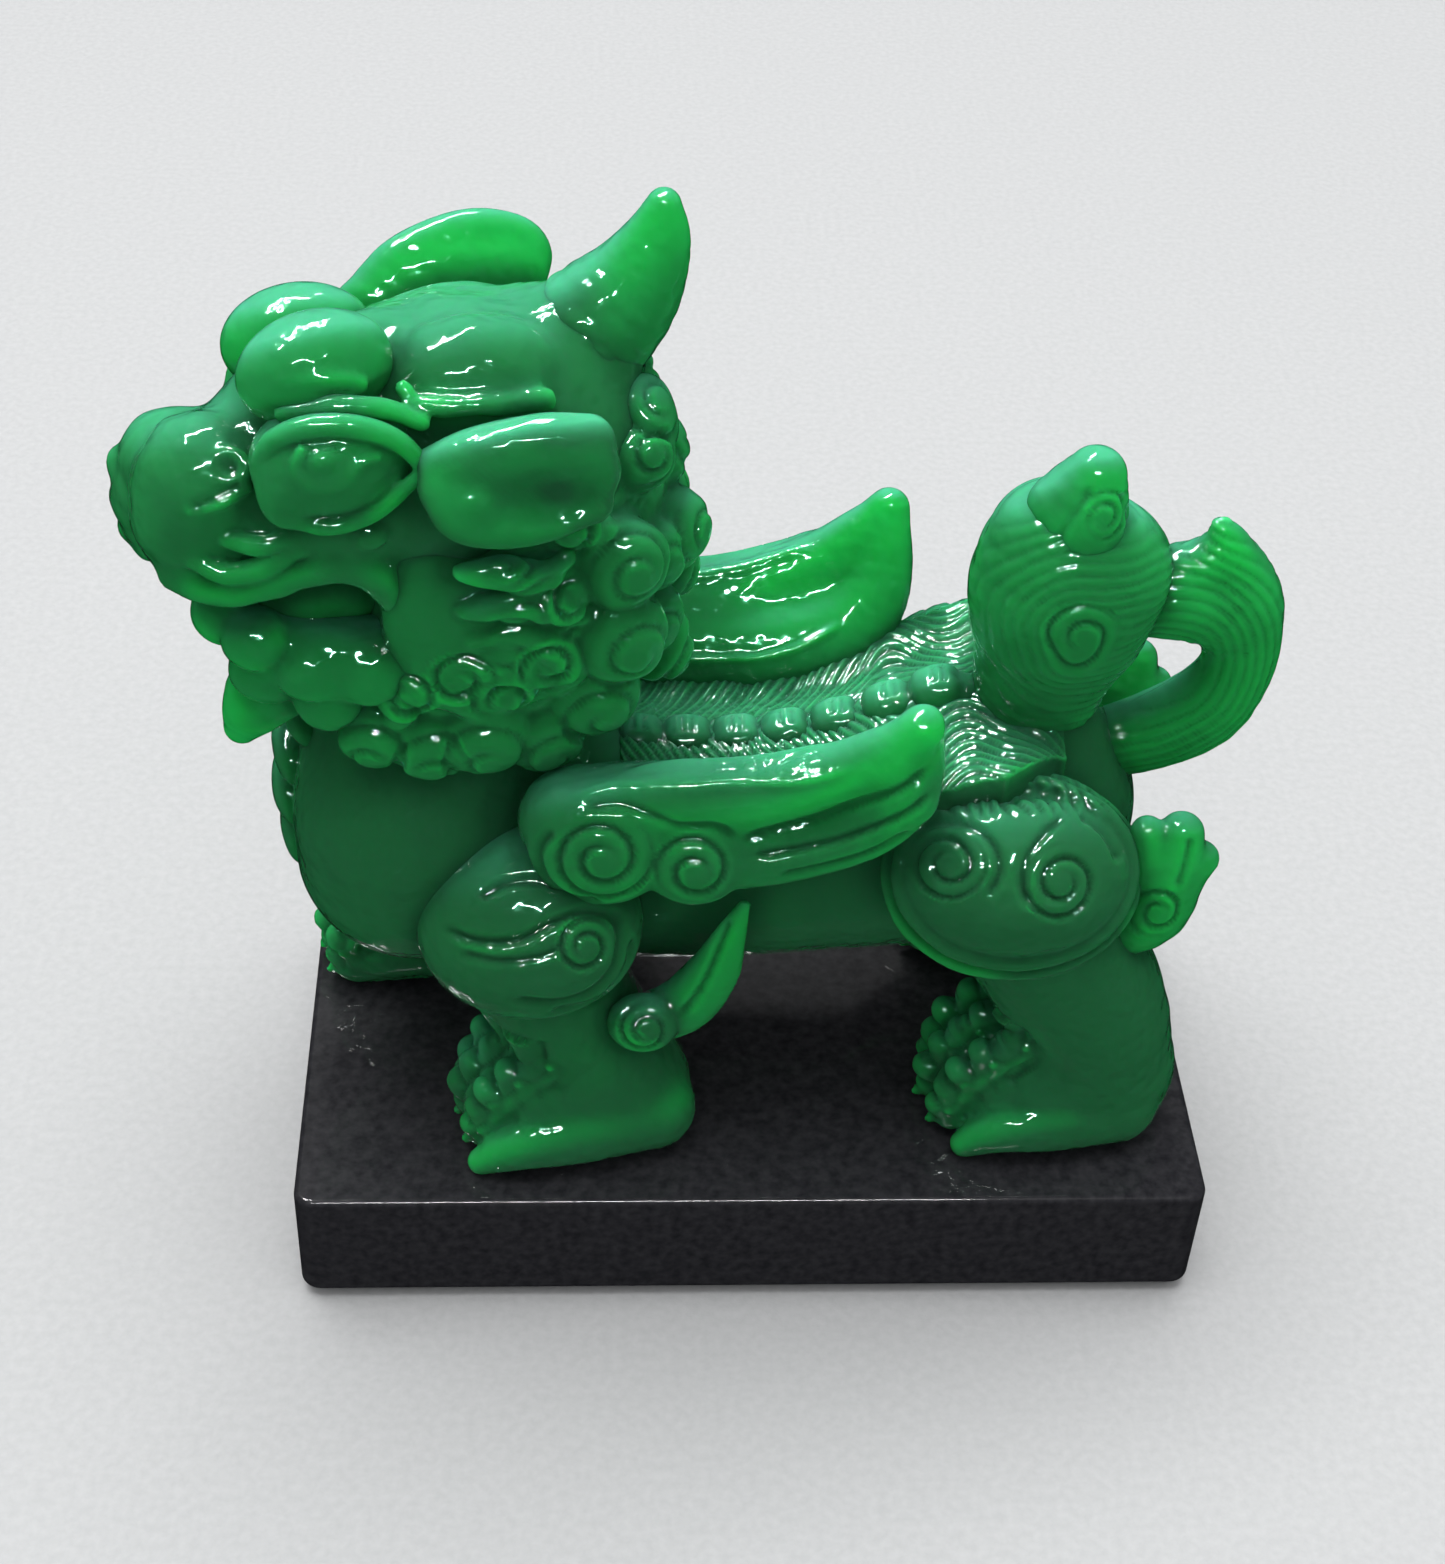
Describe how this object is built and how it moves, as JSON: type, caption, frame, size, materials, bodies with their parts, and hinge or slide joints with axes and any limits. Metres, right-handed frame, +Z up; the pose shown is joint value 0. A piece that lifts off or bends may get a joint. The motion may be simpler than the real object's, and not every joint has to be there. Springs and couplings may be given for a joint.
{
  "type": "foo dog statue",
  "caption": "Small standing guardian lion ornament with a horn, wings and a plume tail, cast in green translucent resin on a black rectangular plinth.",
  "frame": {"origin": "centre of the underside, on the surface that the statue stands on", "axes": "+Z up, -X towards the head and +X towards the tail, -Y the animal's left side, which the picture shows"},
  "size_m": [0.1171, 0.058, 0.1199],
  "materials": {
    "jade_deep": "polished translucent cast resin in the look of green jade, thick and dark sections",
    "jade_mid": "polished translucent cast resin in the look of green jade, middling sections",
    "jade_bright": "polished translucent cast resin in the look of green jade, thin and bright sections",
    "plinth_black": "satin black",
    "felt": "matt black felt"
  },
  "bodies": {
    "root": {"chest_plates": "jade_mid", "felt_pad": "felt", "front_left_leg": "jade_deep", "front_left_tuft": "jade_mid", "front_right_leg": "jade_deep", "front_right_tuft": "jade_mid", "head": "jade_mid", "hind_left_leg": "jade_deep", "hind_left_tuft": "jade_mid", "hind_right_leg": "jade_deep", "hind_right_tuft": "jade_mid", "horn": "jade_bright", "left_brow": "jade_bright", "left_ear": "jade_bright", "left_eye": "jade_mid", "left_wing": "jade_bright", "lower_jaw": "jade_mid", "mane": "jade_deep", "plinth": "plinth_black", "right_brow": "jade_bright", "right_ear": "jade_bright", "right_eye": "jade_mid", "right_wing": "jade_bright", "spine_ridge": "jade_mid", "tail_curl": "jade_bright", "tail_flame": "jade_bright", "tail_plume": "jade_bright", "torso": "jade_deep"}
  },
  "joints": []
}
